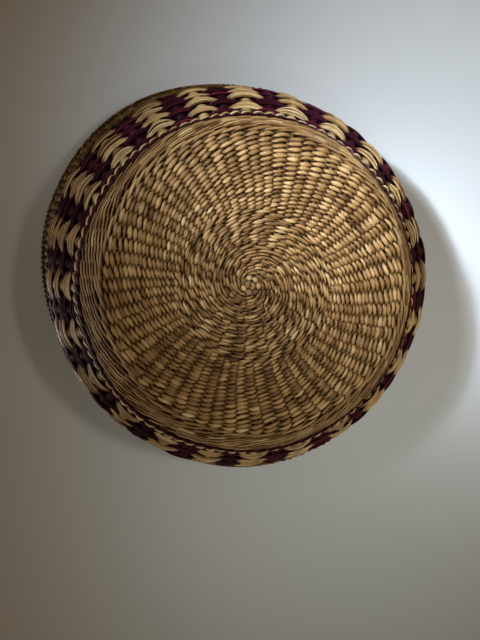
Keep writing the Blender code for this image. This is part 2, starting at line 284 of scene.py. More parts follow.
@dataclass
class StrawRun:
    """One straw's way through the weave and its looks, point by point."""

    angle: np.ndarray
    run: np.ndarray
    out: np.ndarray
    half_width: np.ndarray
    half_thickness: np.ndarray
    tone: np.ndarray
    closed: bool = True
    length_unit: float = 1.0
    # depth, inner, edge_power and the last field set a straw's painted shade: where it dives, where it
    # presses against the stakes, and along its sides.
    depth: np.ndarray | float = 0.0
    inner: np.ndarray | float = 0.0
    facing_run: np.ndarray | float = 0.0
    facing_out: np.ndarray | float = 1.0
    sides: int = 8
    edge_power: float = 2.2
    shade_turn: float = 0.0


class Loom:
    """Gathers straws into one mesh: each is a grid rolled into a tube along its way."""

    PROBE = 0.05 * MM
    MERGE_DISTANCE = 0.0004 * MM
    SECTION_POWER = 0.85
    # How dark the painted shade is along a straw's sides and on its side against the stakes.
    EDGE_SHADE = 0.92
    STAKE_SIDE_SHADE = 0.7
    # The dark filler strands between inner and outer straws, which paint shade into the gaps.
    SHADE_FILLER_SHARE = 0.56
    SHADE_FILLER_THICKNESS = 0.3 * MM
    SHADE_FILLER_TONE = 0.1

    def __init__(self, form: BasketForm) -> None:
        """Keeps the form on which the straws lie."""
        self.form = form
        self.straws: list[StrawRun] = []

    def add(self, straw: StrawRun) -> None:
        """Adds one straw."""
        self.straws.append(straw)

    def pack(self, angle: np.ndarray, run: np.ndarray, pitch: float, every: int = 2) -> None:
        """Adds a flat dark strand between a row's inner and outer straws: painted shade that shows in the
        gaps.

        Args:
            angle: angles of the row's points.
            run: runs of the row's middle.
            pitch: the row's height.
            every: which of the points are used, such as every second.
        """
        angle, run = angle[::every], run[::every]
        width, thick, tone = (np.full(len(angle), size) for size in
                              (self.SHADE_FILLER_SHARE * pitch, self.SHADE_FILLER_THICKNESS, self.SHADE_FILLER_TONE))
        self.add(StrawRun(angle, run, np.zeros(len(angle)), width, thick, tone, length_unit=48.0, depth=1.0,
                          sides=4))

    def weave(self, name: str) -> bpy.types.Object:
        """Makes the gathered straws into one object.

        Args:
            name: the object's name.

        Returns:
            The linked object, with the straws' lengths as UV and their tone and painted shade as attributes.
        """
        build = bmesh.new()
        build.loops.layers.uv.new("along")
        spans = []
        for straw in self.straws:
            columns = len(straw.angle) if straw.closed else len(straw.angle) - 1
            first = len(build.verts)
            bmesh.ops.create_grid(build, x_segments=columns, y_segments=straw.sides, size=0.5, calc_uvs=True)
            spans.append((first, len(build.verts), columns))
        mesh = bpy.data.meshes.new(name)
        build.to_mesh(mesh)
        build.free()
        flat = np.empty(len(mesh.vertices) * 3, dtype=np.float32)
        mesh.vertices.foreach_get("co", flat)
        flat = flat.reshape(-1, 3).astype(np.float64)
        places = np.empty_like(flat)
        tones, painted_shades, units = np.empty((3, len(flat)), dtype=np.float32)
        for straw, (first, last, columns) in zip(self.straws, spans):
            along = np.rint((flat[first:last, 0] + 0.5) * columns).astype(int)
            around = np.rint((flat[first:last, 1] + 0.5) * straw.sides).astype(int)
            places[first:last], tones[first:last], painted_shades[first:last] = self._tube(straw, along, around)
            units[first:last] = straw.length_unit
        mesh.vertices.foreach_set("co", places.astype(np.float32).ravel())
        self._stretch_uv(mesh, units)
        for label, values in (("tone", tones), ("painted_shade", painted_shades)):
            mesh.attributes.new(label, "FLOAT", "POINT").data.foreach_set("value", values)
        return self._closed(mesh, name)

    def _tube(self, straw: StrawRun, along: np.ndarray, around: np.ndarray) -> tuple[np.ndarray, ...]:
        """Rolls one straw's grid into a tube.

        Args:
            straw: the straw.
            along: each grid point's number along the straw.
            around: each grid point's number around it.

        Returns:
            The places, tones and painted shades of the grid points.
        """
        count = len(straw.angle)
        centre = self.form.place(straw.angle, straw.run, straw.out)
        ahead = self.form.place(straw.angle, straw.run + straw.facing_run * self.PROBE,
                                straw.out + straw.facing_out * self.PROBE)
        facing = _unit(ahead - centre)
        if straw.closed:
            course = _unit(np.roll(centre, -1, axis=0) - np.roll(centre, 1, axis=0))
        else:
            course = _unit(np.gradient(centre, axis=0))
        side = _unit(np.cross(facing, course))
        facing = np.cross(course, side)
        ring = along % count
        turn = tau * around / straw.sides
        across, up = (np.sign(v) * np.abs(v) ** self.SECTION_POWER for v in (np.cos(turn), np.sin(turn)))
        shape = (
            centre[ring]
            + side[ring] * (straw.half_width[ring] * across)[:, None]
            + facing[ring] * (straw.half_thickness[ring] * up)[:, None]
        )
        inner, depth = (np.broadcast_to(share, (count,))[ring] for share in (straw.inner, straw.depth))
        # Painted shade: each straw is darkened along its sides where it meets its neighbours, on the side
        # that presses against the stakes, and by its depth where it dives into the weave.
        shade_share = np.clip(up * (2 * inner - 1), 0, 1)
        edge = np.abs(np.cos(turn - straw.shade_turn)) ** straw.edge_power
        painted_shade = np.clip(self.EDGE_SHADE * edge + self.STAKE_SIDE_SHADE * shade_share + depth, 0, 1)
        return shape, straw.tone[ring], painted_shade

    @staticmethod
    def _stretch_uv(mesh: bpy.types.Mesh, units: np.ndarray) -> None:
        """Stretches the grids' UV so that its first axis counts lengths along the straw.

        Args:
            mesh: the mesh of the grids.
            units: the length of each vertex's straw, in units of the UV.
        """
        layer = mesh.uv_layers[0]
        layer.name = "along"
        flat = np.empty(len(mesh.loops) * 2, dtype=np.float32)
        layer.uv.foreach_get("vector", flat)
        corners = np.empty(len(mesh.loops), dtype=np.int32)
        mesh.loops.foreach_get("vertex_index", corners)
        flat = flat.reshape(-1, 2)
        flat[:, 0] *= units[corners]
        layer.uv.foreach_set("vector", flat.ravel())

    def _closed(self, mesh: bpy.types.Mesh, name: str) -> bpy.types.Object:
        """Merges the seams of the tubes.

        Args:
            mesh: the mesh of the tubes.
            name: the object's name.

        Returns:
            The linked object.
        """
        build = bmesh.new()
        build.from_mesh(mesh)
        bmesh.ops.remove_doubles(build, verts=build.verts, dist=self.MERGE_DISTANCE)
        build.to_mesh(mesh)
        build.free()
        mesh.shade_smooth()
        return _link(name, mesh)


@dataclass(frozen=True)
class StrawTones:
    """How tones vary: a straw keeps its tone for some stitches, then the next straw starts."""

    middle: float = 0.5
    straw_spread: float = 0.09
    stitch_spread: float = 0.09
    stitches_per_straw: int = 9


class Stitches:
    """The stitches of one strand: the number of the stitch at each point, and what is drawn for it."""

    def __init__(self, rng: np.random.Generator, places: np.ndarray, count: int) -> None:
        """Numbers the stitches.

        Args:
            rng: where the draws come from.
            places: each point's place along the strand, in stitches.
            count: how many stitches the strand has.
        """
        self.rng = rng
        self.count = count
        self.number = np.floor(places).astype(int) % count

    def play(self, spread: float) -> np.ndarray:
        """Returns a random departure of each point's stitch."""
        return self.rng.normal(0, spread, self.count)[self.number]

    def picked(self, share: float) -> np.ndarray:
        """Returns whether each point's stitch is in a random share of them."""
        return self.rng.random(self.count)[self.number] < share

    def tones(self, tones: StrawTones) -> np.ndarray:
        """Draws the tone of each point's stitch.

        Args:
            tones: how the tones vary.

        Returns:
            The tones, from 0, dark, to 1, pale.
        """
        drawn = np.empty(self.count)
        filled = 0
        while filled < self.count:
            length = int(self.rng.integers(tones.stitches_per_straw // 2, 2 * tones.stitches_per_straw))
            drawn[filled:filled + length] = self.rng.normal(tones.middle, tones.straw_spread)
            filled += length
        drawn = drawn + self.rng.normal(0, tones.stitch_spread, self.count)
        return np.clip(drawn, 0.0, 1.0)[self.number]


class Shader:
    """A short hand for wiring one material's nodes."""

    def __init__(self, name: str) -> None:
        """Starts a material with its Principled shader.

        Args:
            name: the material's name.
        """
        self.material = bpy.data.materials.new(name)
        self.material.use_nodes = True
        self.tree = self.material.node_tree
        self.surface = self.tree.nodes["Principled BSDF"]

    def node(self, kind: str, **settings: object) -> bpy.types.Node:
        """Adds a node.

        Args:
            kind: the node's type.
            **settings: its properties.

        Returns:
            The node.
        """
        node = self.tree.nodes.new(kind)
        for key, value in settings.items():
            setattr(node, key, value)
        return node

    def link(self, start: bpy.types.NodeSocket, end: bpy.types.NodeSocket) -> None:
        """Joins two sockets."""
        self.tree.links.new(start, end)

    def feed(self, socket: bpy.types.NodeSocket, value: object) -> None:
        """Joins or sets an input.

        Args:
            socket: the input.
            value: a socket, a number or a colour.
        """
        if isinstance(value, bpy.types.NodeSocket):
            self.link(value, socket)
        else:
            socket.default_value = (*value, 1.0) if isinstance(value, tuple) else value

    def math(self, operation: str, first: object, second: object) -> bpy.types.NodeSocket:
        """Adds a Math node.

        Args:
            operation: what it works out.
            first: a socket or a number.
            second: a socket or a number.

        Returns:
            The node's output.
        """
        node = self.node("ShaderNodeMath", operation=operation)
        self.feed(node.inputs[0], first)
        self.feed(node.inputs[1], second)
        return node.outputs[0]

    def swing(self, share: bpy.types.NodeSocket, size: float) -> bpy.types.NodeSocket:
        """Returns a share of 0 to 1 as a swing of this size about 0."""
        return self.math("MULTIPLY", self.math("SUBTRACT", share, 0.5), size)

    def ramp(self, share: bpy.types.NodeSocket, stops: Stops) -> bpy.types.NodeSocket:
        """Adds a colour ramp.

        Args:
            share: the socket that the ramp is over.
            stops: rising (position, colour) pairs.

        Returns:
            The ramp's colour.
        """
        node = self.node("ShaderNodeValToRGB")
        elements = node.color_ramp.elements
        while len(elements) < len(stops):
            elements.new(0.5)
        for element, (position, colour) in zip(elements, stops):
            element.position = position
            element.color = (*colour, 1.0)
        self.link(share, node.inputs[0])
        return node.outputs[0]

    def blend(self, kind: str, share: object, first: object, second: object) -> bpy.types.NodeSocket:
        """Mixes two colours.

        Args:
            kind: the way they mix.
            share: how much of the second one counts, a socket or a number.
            first: a socket or a colour.
            second: a socket or a colour.

        Returns:
            The mixed colour.
        """
        node = self.node("ShaderNodeMix", data_type="RGBA", blend_type=kind)
        for socket, value in ((node.inputs[0], share), (node.inputs[6], first), (node.inputs[7], second)):
            self.feed(socket, value)
        return node.outputs[2]


@dataclass(frozen=True)
class Grain:
    """A noise in the grass: its stretch along each axis, its fineness and its detail."""

    stretch: Triple
    fineness: float
    detail: float

    def over(self, shader: Shader, vector: bpy.types.NodeSocket) -> bpy.types.NodeSocket:
        """Adds the noise to a material.

        Args:
            shader: the material's shader.
            vector: the coordinates that the noise is over.

        Returns:
            The noise's value.
        """
        mapping = shader.node("ShaderNodeMapping")
        mapping.inputs["Scale"].default_value = self.stretch
        shader.link(vector, mapping.inputs["Vector"])
        noise = shader.node("ShaderNodeTexNoise")
        noise.inputs["Scale"].default_value = self.fineness
        noise.inputs["Detail"].default_value = self.detail
        shader.link(mapping.outputs["Vector"], noise.inputs["Vector"])
        return noise.outputs["Fac"]


@dataclass(frozen=True)
class StrawFinish:
    """Dry grass: a tone for each stitch, fibres along the straw, and a dark colour mixed in as painted shade
    where straws meet and dive.
    """

    name: str
    slot: str
    stops: Stops
    gap_shade: Triple
    gap_shade_share: float = 0.95
    gap_shade_power: float = 1.7
    fibres: Grain = Grain((0.45, 3.2, 1.0), 2.0, 4.0)
    fibre_stops: Stops = ((0.36, (0.30, 0.24, 0.17)), (0.50, (0.90, 0.88, 0.85)), (0.66, (1.12, 1.12, 1.12)))
    fibre_share: float = 0.6
    fibre_roughness: float = 0.25
    spots: Grain = Grain((3.0, 2.0, 1.0), 2.5, 2.0)
    spot_swing: float = 0.3
    patches: Grain = Grain((28.0, 28.0, 28.0), 1.0, 2.0)
    patch_swing: float = 0.5
    roughness: float = 0.34
    specular: float = 0.5
    groove_depth: float = 0.2 * MM
    groove_strength: float = 0.8

    def material(self) -> bpy.types.Material:
        """Makes the finish.

        Returns:
            The material.
        """
        shader = Shader(self.name)
        surface = shader.surface.inputs
        tone, painted_shade = (shader.node("ShaderNodeAttribute", attribute_name=label).outputs["Fac"]
                       for label in ("tone", "painted_shade"))
        along = shader.node("ShaderNodeUVMap", uv_map="along").outputs["UV"]
        place = shader.node("ShaderNodeTexCoord").outputs["Object"]
        fibres = self.fibres.over(shader, along)
        shade = shader.math("ADD", tone, shader.swing(self.patches.over(shader, place), self.patch_swing))
        shade = shader.math("ADD", shade, shader.swing(self.spots.over(shader, along), self.spot_swing))
        streaks = shader.ramp(fibres, self.fibre_stops)
        colour = shader.blend("MULTIPLY", self.fibre_share, shader.ramp(shade, self.stops), streaks)
        # Painted shade: the dark gap colour is mixed in by the straw's painted shade, and the gloss is
        # lowered there.
        shade_share = shader.math("MULTIPLY", shader.math("POWER", painted_shade, self.gap_shade_power), self.gap_shade_share)
        shader.link(shader.blend("MIX", shade_share, colour, self.gap_shade), surface["Base Color"])
        rough = shader.math("ADD", shader.math("MULTIPLY", fibres, self.fibre_roughness), self.roughness)
        shader.link(rough, surface["Roughness"])
        shine = shader.math("MULTIPLY", shader.math("SUBTRACT", 1.0, shade_share), self.specular)
        shader.link(shine, surface["Specular IOR Level"])
        bump = shader.node("ShaderNodeBump")
        bump.inputs["Strength"].default_value = self.groove_strength
        bump.inputs["Distance"].default_value = self.groove_depth
        shader.link(fibres, bump.inputs["Height"])
        shader.link(bump.outputs["Normal"], surface["Normal"])
        return shader.material


class Finishes:
    """All the finishes of the basket, made once."""

    def __init__(self) -> None:
        """Makes the materials."""
        straw = ((0.0, (0.11, 0.052, 0.015)), (0.3, (0.26, 0.150, 0.052)), (0.55, (0.44, 0.280, 0.116)),
                 (0.8, (0.62, 0.440, 0.212)), (1.0, (0.80, 0.66, 0.41)))
        pale = ((0.0, (0.13, 0.066, 0.021)), (0.35, (0.35, 0.215, 0.082)), (0.65, (0.56, 0.39, 0.18)),
                (1.0, (0.78, 0.62, 0.36)))
        # A darker copy of the natural straw: painted shade for the rows over the band, the rolled rim and the
        # stakes.
        shaded_straw = ((0.0, (0.040, 0.019, 0.005)), (0.5, (0.140, 0.078, 0.023)), (1.0, (0.38, 0.25, 0.10)))
        purple = ((0.0, (0.014, 0.002, 0.006)), (0.45, (0.040, 0.004, 0.015)), (0.75, (0.095, 0.010, 0.030)),
                  (1.0, (0.26, 0.03, 0.05)))
        # The dark colours mixed in between the straws as painted shade.
        gap_shade, purple_gap_shade = (0.032, 0.015, 0.005), (0.010, 0.002, 0.005)
        self.straw = StrawFinish("natural_straw", "straw_weft", straw, gap_shade)
        self.pale = StrawFinish("pale_straw", "pale_weft", pale, gap_shade, gap_shade_share=0.9)
        self.shaded_straw = StrawFinish("straw_in_painted_shade", "rim_weft", shaded_straw, gap_shade, specular=0.12)
        self.purple = StrawFinish("purple_straw", "purple_weft", purple, purple_gap_shade, specular=0.12)
        self.reed = StrawFinish("stake_reed", "stake_reed", shaded_straw, gap_shade, gap_shade_share=0.3)
        finishes = (self.straw, self.pale, self.shaded_straw, self.purple, self.reed)
        self.materials = {finish.name: finish.material() for finish in finishes}

    def dress(self, obj: bpy.types.Object, finish: StrawFinish, *nodes: str) -> None:
        """Gives a piece its finish and its body, and hides the solids that it stands for.

        Args:
            obj: the piece.
            finish: its finish.
            *nodes: the names of the solids.
        """
        obj.data.materials.append(self.materials[finish.name])
        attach(obj, BODY)
        if nodes:
            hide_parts(*nodes)
        LOG.info("%s: %d triangles", obj.name, sum(len(p.vertices) - 2 for p in obj.data.polygons))


@dataclass
class WeftRows:
    """Rows of straws woven round the stakes, from one run of the outline to another."""

    form: BasketForm
    name: str
    start: float
    end: float
    rows: int
    stakes: int = 96
    first_angle: float = 0.0
    steps: int = 6
    sides: int = 8
    reach: float = 1.65 * MM
    half_thickness: float = 0.9 * MM
    slant: float = 0.28
    middle_tone: float = 0.5
    stitch_spread: float = 0.1
    shade_turn: float = 0.0
    seed: int = 1

    def build(self) -> bpy.types.Object:
        """Returns the rows as one object."""
        loom = Loom(self.form)
        self.lay(loom)
        return loom.weave(self.name)

    def lay(self, loom: Loom) -> None:
        """Lays the rows on a loom, in the way of the kind of weave."""
        raise NotImplementedError

    def _places(self) -> np.ndarray:
        """Returns the places of a row's points round the basket, in stakes."""
        return np.arange(self.stakes * self.steps) / self.steps


@dataclass
class TwinedRows(WeftRows):
    """Rows of two straws that cross between the stakes, one outside and one inside each stake."""

    lift: float = 0.0
    fullness: float = 1.06
    crossing_share: float = 0.26
    swell_power: float = 0.68
    reach_power: float = 0.75
    wave: float = 0.3 * MM
    pitch_play: float = 0.06
    stake_play: float = 0.09
    pairing: float = 0.09
    strand_contrast: float = 0.05
    plump_play: float = 0.11
    rise_play: float = 0.16
    stray_share: float = 0.07
    row_play: float = 0.03

    def lay(self, loom: Loom) -> None:
        """Lays the rows on a loom.

        Args:
            loom: what gathers the straws.
        """
        rng = np.random.default_rng(self.seed)
        pitches = 1 + rng.normal(0, self.pitch_play, self.rows)
        shares = np.concatenate([[0.0], np.cumsum(pitches)]) / pitches.sum()
        edges = shares * (self.end - self.start) + self.start
        where = self._places()
        angle = self.first_angle + self._uneven(rng, where) * tau / self.stakes
        zone_wave = _random_ripple(rng, angle, (3, 5, 7, 9), 1 / 4)
        for low, high in zip(edges[:-1], edges[1:]):
            row_wave = _random_ripple(rng, angle, (5, 9, 13), 0.4 / 3)
            places = where + rng.normal(0, self.row_play)
            middle = (low + high) / 2 + self.wave * (zone_wave + row_wave)
            for strand in range(2):
                loom.add(self._strand(rng, places, angle, middle, high - low, strand))
            loom.pack(angle, middle, high - low)

    def _uneven(self, rng: np.random.Generator, where: np.ndarray) -> np.ndarray:
        """Moves places as the stakes stand, a little unevenly and partly in pairs.

        Args:
            rng: the rows' random draws.
            where: places round the basket, in stakes.

        Returns:
            The moved places.
        """
        stake = np.arange(self.stakes)
        moved = rng.normal(0, self.stake_play, self.stakes)
        moved += self.pairing * np.where(stake % 2, 1, -1) * (1 + np.sin(stake / self.stakes * tau + 1.0))
        return where + np.interp(where, np.arange(self.stakes + 1), np.append(moved, moved[0]))

    def _strand(self, rng: np.random.Generator, where: np.ndarray, angle: np.ndarray, middle: np.ndarray,
                pitch: float, strand: int) -> StrawRun:
        """Shapes one of a row's two straws.

        Args:
            rng: the rows' random draws.
            where: places along the row, in stakes.
            angle: angles of the row's points.
            middle: runs of the row's middle.
            pitch: the row's height.
            strand: 0 for the first straw, 1 for the second.

        Returns:
            The straw.
        """
        phase = pi * (where + strand)
        over = np.cos(phase)
        swell = np.abs(over)
        stitches = Stitches(rng, where + 0.5, self.stakes)
        plump, rise, stray = map(stitches.play, (self.plump_play, self.rise_play, self.stray_share))
        tone = self.middle_tone + self.strand_contrast * (1 if strand else -1)
        tones = stitches.tones(StrawTones(tone, stitch_spread=self.stitch_spread))
        full = 0.5 * self.fullness * (1 + plump)
        half_width = pitch * (self.crossing_share + (full - self.crossing_share) * swell ** self.swell_power)
        out = self.lift + self.reach * np.sign(over) * swell ** self.reach_power * (1 + rise * swell)
        run = middle + pitch * (self.slant * np.sin(phase) + stray * swell)
        thick = self.half_thickness * (0.75 + 0.25 * swell) * (1 + 0.5 * plump * swell)
        return StrawRun(angle, run, out, half_width, thick, tones, length_unit=float(self.stakes),
                        depth=_dive_shade(swell, 0.85, 2.1), inner=_inside(over), sides=self.sides,
                        shade_turn=self.shade_turn)


@dataclass
class Wale(WeftRows):
    """Rows of three straws, each outside two stakes and inside the third, with a long slanted stitch."""

    reach: float = 1.75 * MM
    half_thickness: float = 0.85 * MM
    slant: float = 0.3
    middle_tone: float = 0.52
    stitch_spread: float = 0.09
    strands: int = 3
    width_share: float = 0.33
    end_share: float = 0.22
    swell_power: float = 0.8
    wave_share: float = 0.06
    stray_share: float = 0.1
    plump_play: float = 0.09
    stitches_per_straw: int = 4
    out_keys: Keys = ((0.0, -0.1), (0.5, 0.8), (1.0, 1.0), (1.6, 0.85), (2.0, 0.0), (2.5, -0.9))
    level_keys: Keys = ((0.0, -1.0), (2.0, 1.0))

    def lay(self, loom: Loom) -> None:
        """Lays the rows on a loom.

        Args:
            loom: what gathers the straws.
        """
        rng = np.random.default_rng(self.seed)
        pitch = (self.end - self.start) / self.rows
        where = self._places()
        angle = self.first_angle + where * tau / self.stakes
        for row in range(self.rows):
            wave = _random_ripple(rng, angle, (4, 11), self.wave_share * pitch)
            middle = self.start + (row + 0.5) * pitch + wave
            loom.pack(angle, middle, pitch)
            for strand in range(self.strands):
                loom.add(self._strand(rng, where + strand + row, angle, middle, pitch))

    def _strand(self, rng: np.random.Generator, where: np.ndarray, angle: np.ndarray, middle: np.ndarray,
                pitch: float) -> StrawRun:
        """Shapes one of a row's three straws.

        Args:
            rng: the rows' random draws.
            where: places along the straw, in stakes.
            angle: angles of the row's points.
            middle: runs of the row's middle.
            pitch: the row's height.

        Returns:
            The straw.
        """
        out = _cycle(where, self.strands, self.out_keys)
        level = _cycle(where, self.strands, self.level_keys)
        seen, swell = np.clip(out, 0, 1), np.abs(out)
        stitches = Stitches(rng, where / self.strands, self.stakes // self.strands)
        stray, plump = (stitches.play(spread) * seen for spread in (self.stray_share, self.plump_play))
        spread = self.stitch_spread
        tones = stitches.tones(StrawTones(self.middle_tone, spread, spread, self.stitches_per_straw))
        width = self.width_share * (1 + plump) - self.end_share
        return StrawRun(
            angle, middle + pitch * (level * self.slant + stray), out * self.reach,
            pitch * (self.end_share + width * swell ** self.swell_power),
            self.half_thickness * (0.75 + 0.25 * swell), tones, length_unit=float(self.stakes),
            depth=_dive_shade(swell), inner=_inside(out), sides=self.sides, edge_power=1.2, shade_turn=self.shade_turn
        )


@dataclass(frozen=True)
class Bundle:
    """How a bundle of straws shows in a course of the check band, with lengths in stakes.

    A straw comes up within its end, stands out by its rise and is sunk again at the sunk place. Its width
    narrows towards the end, the straws gather there, and the whole bundle arches towards the rim.
    """

    end: float
    end_slope: float
    end_play: float
    sunk: float
    rise: float
    roundness: float
    width: float
    narrowing: float
    narrowing_power: float
    least_width: float
    gathering: float
    arch_share: float
    arch_level: float
    arch_half: float
    arch_limit: float

    def shape(self, within: np.ndarray, stitches: Stitches, share: float,
              arch: float) -> tuple[np.ndarray, ...]:
        """Shapes a straw of the bundle.

        Args:
            within: places from the middle of the bundle.
            stitches: the straw's stitches.
            share: where the straw lies in the bundle, from the base side to the rim side.
            arch: the height of a whole arch, as a share of the course.

        Returns:
            How far out the straw is, its level in the course and its half width.
        """
        away = np.abs(within)
        end = self.end - self.end_slope * share + stitches.play(self.end_play)
        reach = away / end
        out = np.where(reach < 1, self.rise * (1 - np.clip(reach, 0, 1) ** self.roundness),
                       -_ease((away - end) / (self.sunk - end)))
        width = self.width * (1 - self.narrowing * np.clip(reach, 0, 1.1) ** self.narrowing_power)
        level = share * (1 - self.gathering * np.clip(away / 1.5, 0, 1.2) ** 1.6)
        bend = self.arch_level - np.clip(away / self.arch_half, 0, self.arch_limit) ** 2
        return out, level + arch * self.arch_share * bend, np.maximum(width, self.least_width)


@dataclass
class BandCourse:
    """One course of the check band: a bundle over three stakes, like an umbrella, and one over one."""

    form: BasketForm
    number: int
    start: float
    height: float
    wide: Colour
    stakes: int = 96
    unit: int = 4
    cap_stake: int = 1
    steps: int = 6
    sides: int = 8
    straws: int = 4
    reach: float = 1.55 * MM
    half_thickness: float = 1.0 * MM
    full_width: float = 0.46
    arch: float = 2.4 * MM
    over_three: Bundle = Bundle(
        end=1.74, end_slope=0.36, end_play=0.14, sunk=2.0, rise=1.15, roundness=2.6, width=0.42,
        narrowing=0.74, narrowing_power=2.2, least_width=0.1, gathering=0.3, arch_share=1.0, arch_level=0.55,
        arch_half=1.55, arch_limit=1.2
    )
    over_one: Bundle = Bundle(
        end=0.45, end_slope=0.0, end_play=0.05, sunk=1.2, rise=0.85, roundness=2.0, width=0.46,
        narrowing=0.4, narrowing_power=2.0, least_width=0.2, gathering=0.0, arch_share=0.4, arch_level=0.5,
        arch_half=1.0, arch_limit=1.0
    )
    level_play: float = 0.03
    plump_play: float = 0.08
    bulge_play: float = 0.32 * MM
    natural_tones: StrawTones = StrawTones(0.58, 0.16, 0.14, 3)
    purple_tones: StrawTones = StrawTones(0.36, 0.14, 0.14, 3)
    faded_share: float = 0.05
    faded_tone: float = 0.85
    shade_turn: float = 0.6
    seed: int = 40

    def build(self, colour: Colour) -> bpy.types.Object:
        """Builds the bundles of one colour as one object.

        Args:
            colour: which of the course's two straws is built.

        Returns:
            The linked object.
        """
        purple = colour is Colour.PURPLE
        rng = np.random.default_rng(self.seed + 10 * self.number + purple)
        half_unit = self.unit / 2
        where = np.arange(self.stakes * self.steps) / self.steps
        angle = where * tau / self.stakes
        local = where - self.cap_stake - (half_unit if purple else 0)
        within = (local + half_unit) % self.unit - half_unit
        stitches = Stitches(rng, (local + half_unit) / self.unit, self.stakes // self.unit)
        low = self.start + _ripple(angle, ((3, 1.3, 0.25 * MM), (7, self.number * 0.4, 0.2 * MM)))
        bundle = self.over_three if colour is self.wide else self.over_one
        loom = Loom(self.form)
        for straw in range(self.straws):
            share = (straw + 0.5) / self.straws
            out, level, width = bundle.shape(within, stitches, share, self.arch / self.height)
            seen = np.clip(out, 0, 1)
            level = level + stitches.play(self.level_play) * seen
            plump = 1 + stitches.play(self.plump_play) * seen
            bulge = stitches.play(self.bulge_play) * seen
            tone = stitches.tones(self.purple_tones if purple else self.natural_tones)
            if purple:
                tone = np.where(stitches.picked(self.faded_share), self.faded_tone, tone)
            loom.add(StrawRun(
                angle, low + level * self.height, out * self.reach + bulge,
                self.height / self.straws * width * plump,
                self.half_thickness * (0.4 + 0.6 * width / self.full_width) * plump, tone,
                length_unit=float(self.stakes), depth=_dive_shade(np.abs(out)), inner=_inside(out),
                sides=self.sides, edge_power=1.2, shade_turn=self.shade_turn
            ))
        if purple:
            loom.pack(angle, low + 0.5 * self.height, self.height, every=3)
        return loom.weave(f"band_course_{self.number}_{colour.value}_straws")


@dataclass
class Stakes:
    """The stakes: eight long ones crossed in the centre and the added ones, up to the rim."""

    form: BasketForm
    half_width: float = 1.15 * MM
    half_thickness: float = 0.75 * MM
    wall_count: int = 96
    cross_each_way: int = 4
    cross_pitch: float = 2.9 * MM
    fan_radius: float = 10.0 * MM
    step_over: float = 1.9 * MM
    settle_start: float = 90 * MM
    settle_end: float = 104 * MM
    sides: int = 8

    def long_stake(self, number: int, upper: bool) -> bpy.types.Object:
        """Builds one long stake, up one wall, across the centre and up the other.

        Args:
            number: which of the stakes that lie side by side.
            upper: whether it is one of those that cross over the others.

        Returns:
            The linked object.
        """
        slot = number - (self.cross_each_way - 1) / 2
        fan = slot * tau / (4 * self.cross_each_way)
        half_square = (self.cross_each_way - 1) / 2 * self.cross_pitch + self.half_width
        rim = self.form.outline.rim
        arm = np.concatenate([np.linspace(self.fan_radius, 95 * MM, 12), np.linspace(100 * MM, rim, 34)])
        square = np.linspace(half_square, -half_square, 5)
        x = np.concatenate([np.cos(fan) * arm[::-1], square, -np.cos(fan) * arm])
        y = np.concatenate([np.sin(fan) * arm[::-1], np.full(5, slot * self.cross_pitch), np.sin(fan) * arm])
        run = np.hypot(x, y)
        angle = np.arctan2(y, x) + (pi / 2 if upper else 0.0)
        out = np.where(run < self.fan_radius - 0.5 * MM, -self.step_over if upper else 0.0, 0.0)
        name = f"{'upper' if upper else 'lower'}_long_stake_{number + 1}_reed"
        return self._rods(name, [(angle, run, out)])

    def added(self, name: str, wall_units: Sequence[float], tip_units: Sequence[float],
              start: float) -> bpy.types.Object:
        """Builds added stakes as one object.

        Args:
            name: the object's name.
            wall_units: each stake's angle on the wall, in stake spacings.
            tip_units: each stake's angle at its tip.
            start: the run at which the tips are.

        Returns:
            The linked object.
        """
        run = np.linspace(start, self.form.outline.rim, 44)
        share = _between(run, self.settle_start, self.settle_end)
        angles = [(tip + (wall - tip) * share) * (tau / self.wall_count)
                  for wall, tip in zip(wall_units, tip_units)]
        return self._rods(name, [(angle, run, np.zeros(len(run))) for angle in angles])

    def _rods(self, name: str, rods: Sequence[tuple[np.ndarray, np.ndarray, np.ndarray]]) -> bpy.types.Object:
        """Builds rods with rounded tips as one object.

        Args:
            name: the object's name.
            rods: the angles, runs and distances outwards of each rod.

        Returns:
            The linked object.
        """
        loom = Loom(self.form)
        rng = np.random.default_rng(len(name))
        for angle, run, out in rods:
            count = len(run)
            end = np.minimum(np.arange(count), np.arange(count)[::-1])
            taper = np.where(end == 0, 1e-4, np.where(end == 1, 0.85, 1.0))
            tone = np.full(count, rng.normal(0.5, 0.12))
            # depth 0.6 paints shade over the whole stake, as it lies inside the weave.
            loom.add(StrawRun(
                angle, run, out, self.half_width * taper, self.half_thickness * taper, tone, closed=False,
                length_unit=20.0, depth=0.6, sides=self.sides
            ))
        return loom.weave(name)


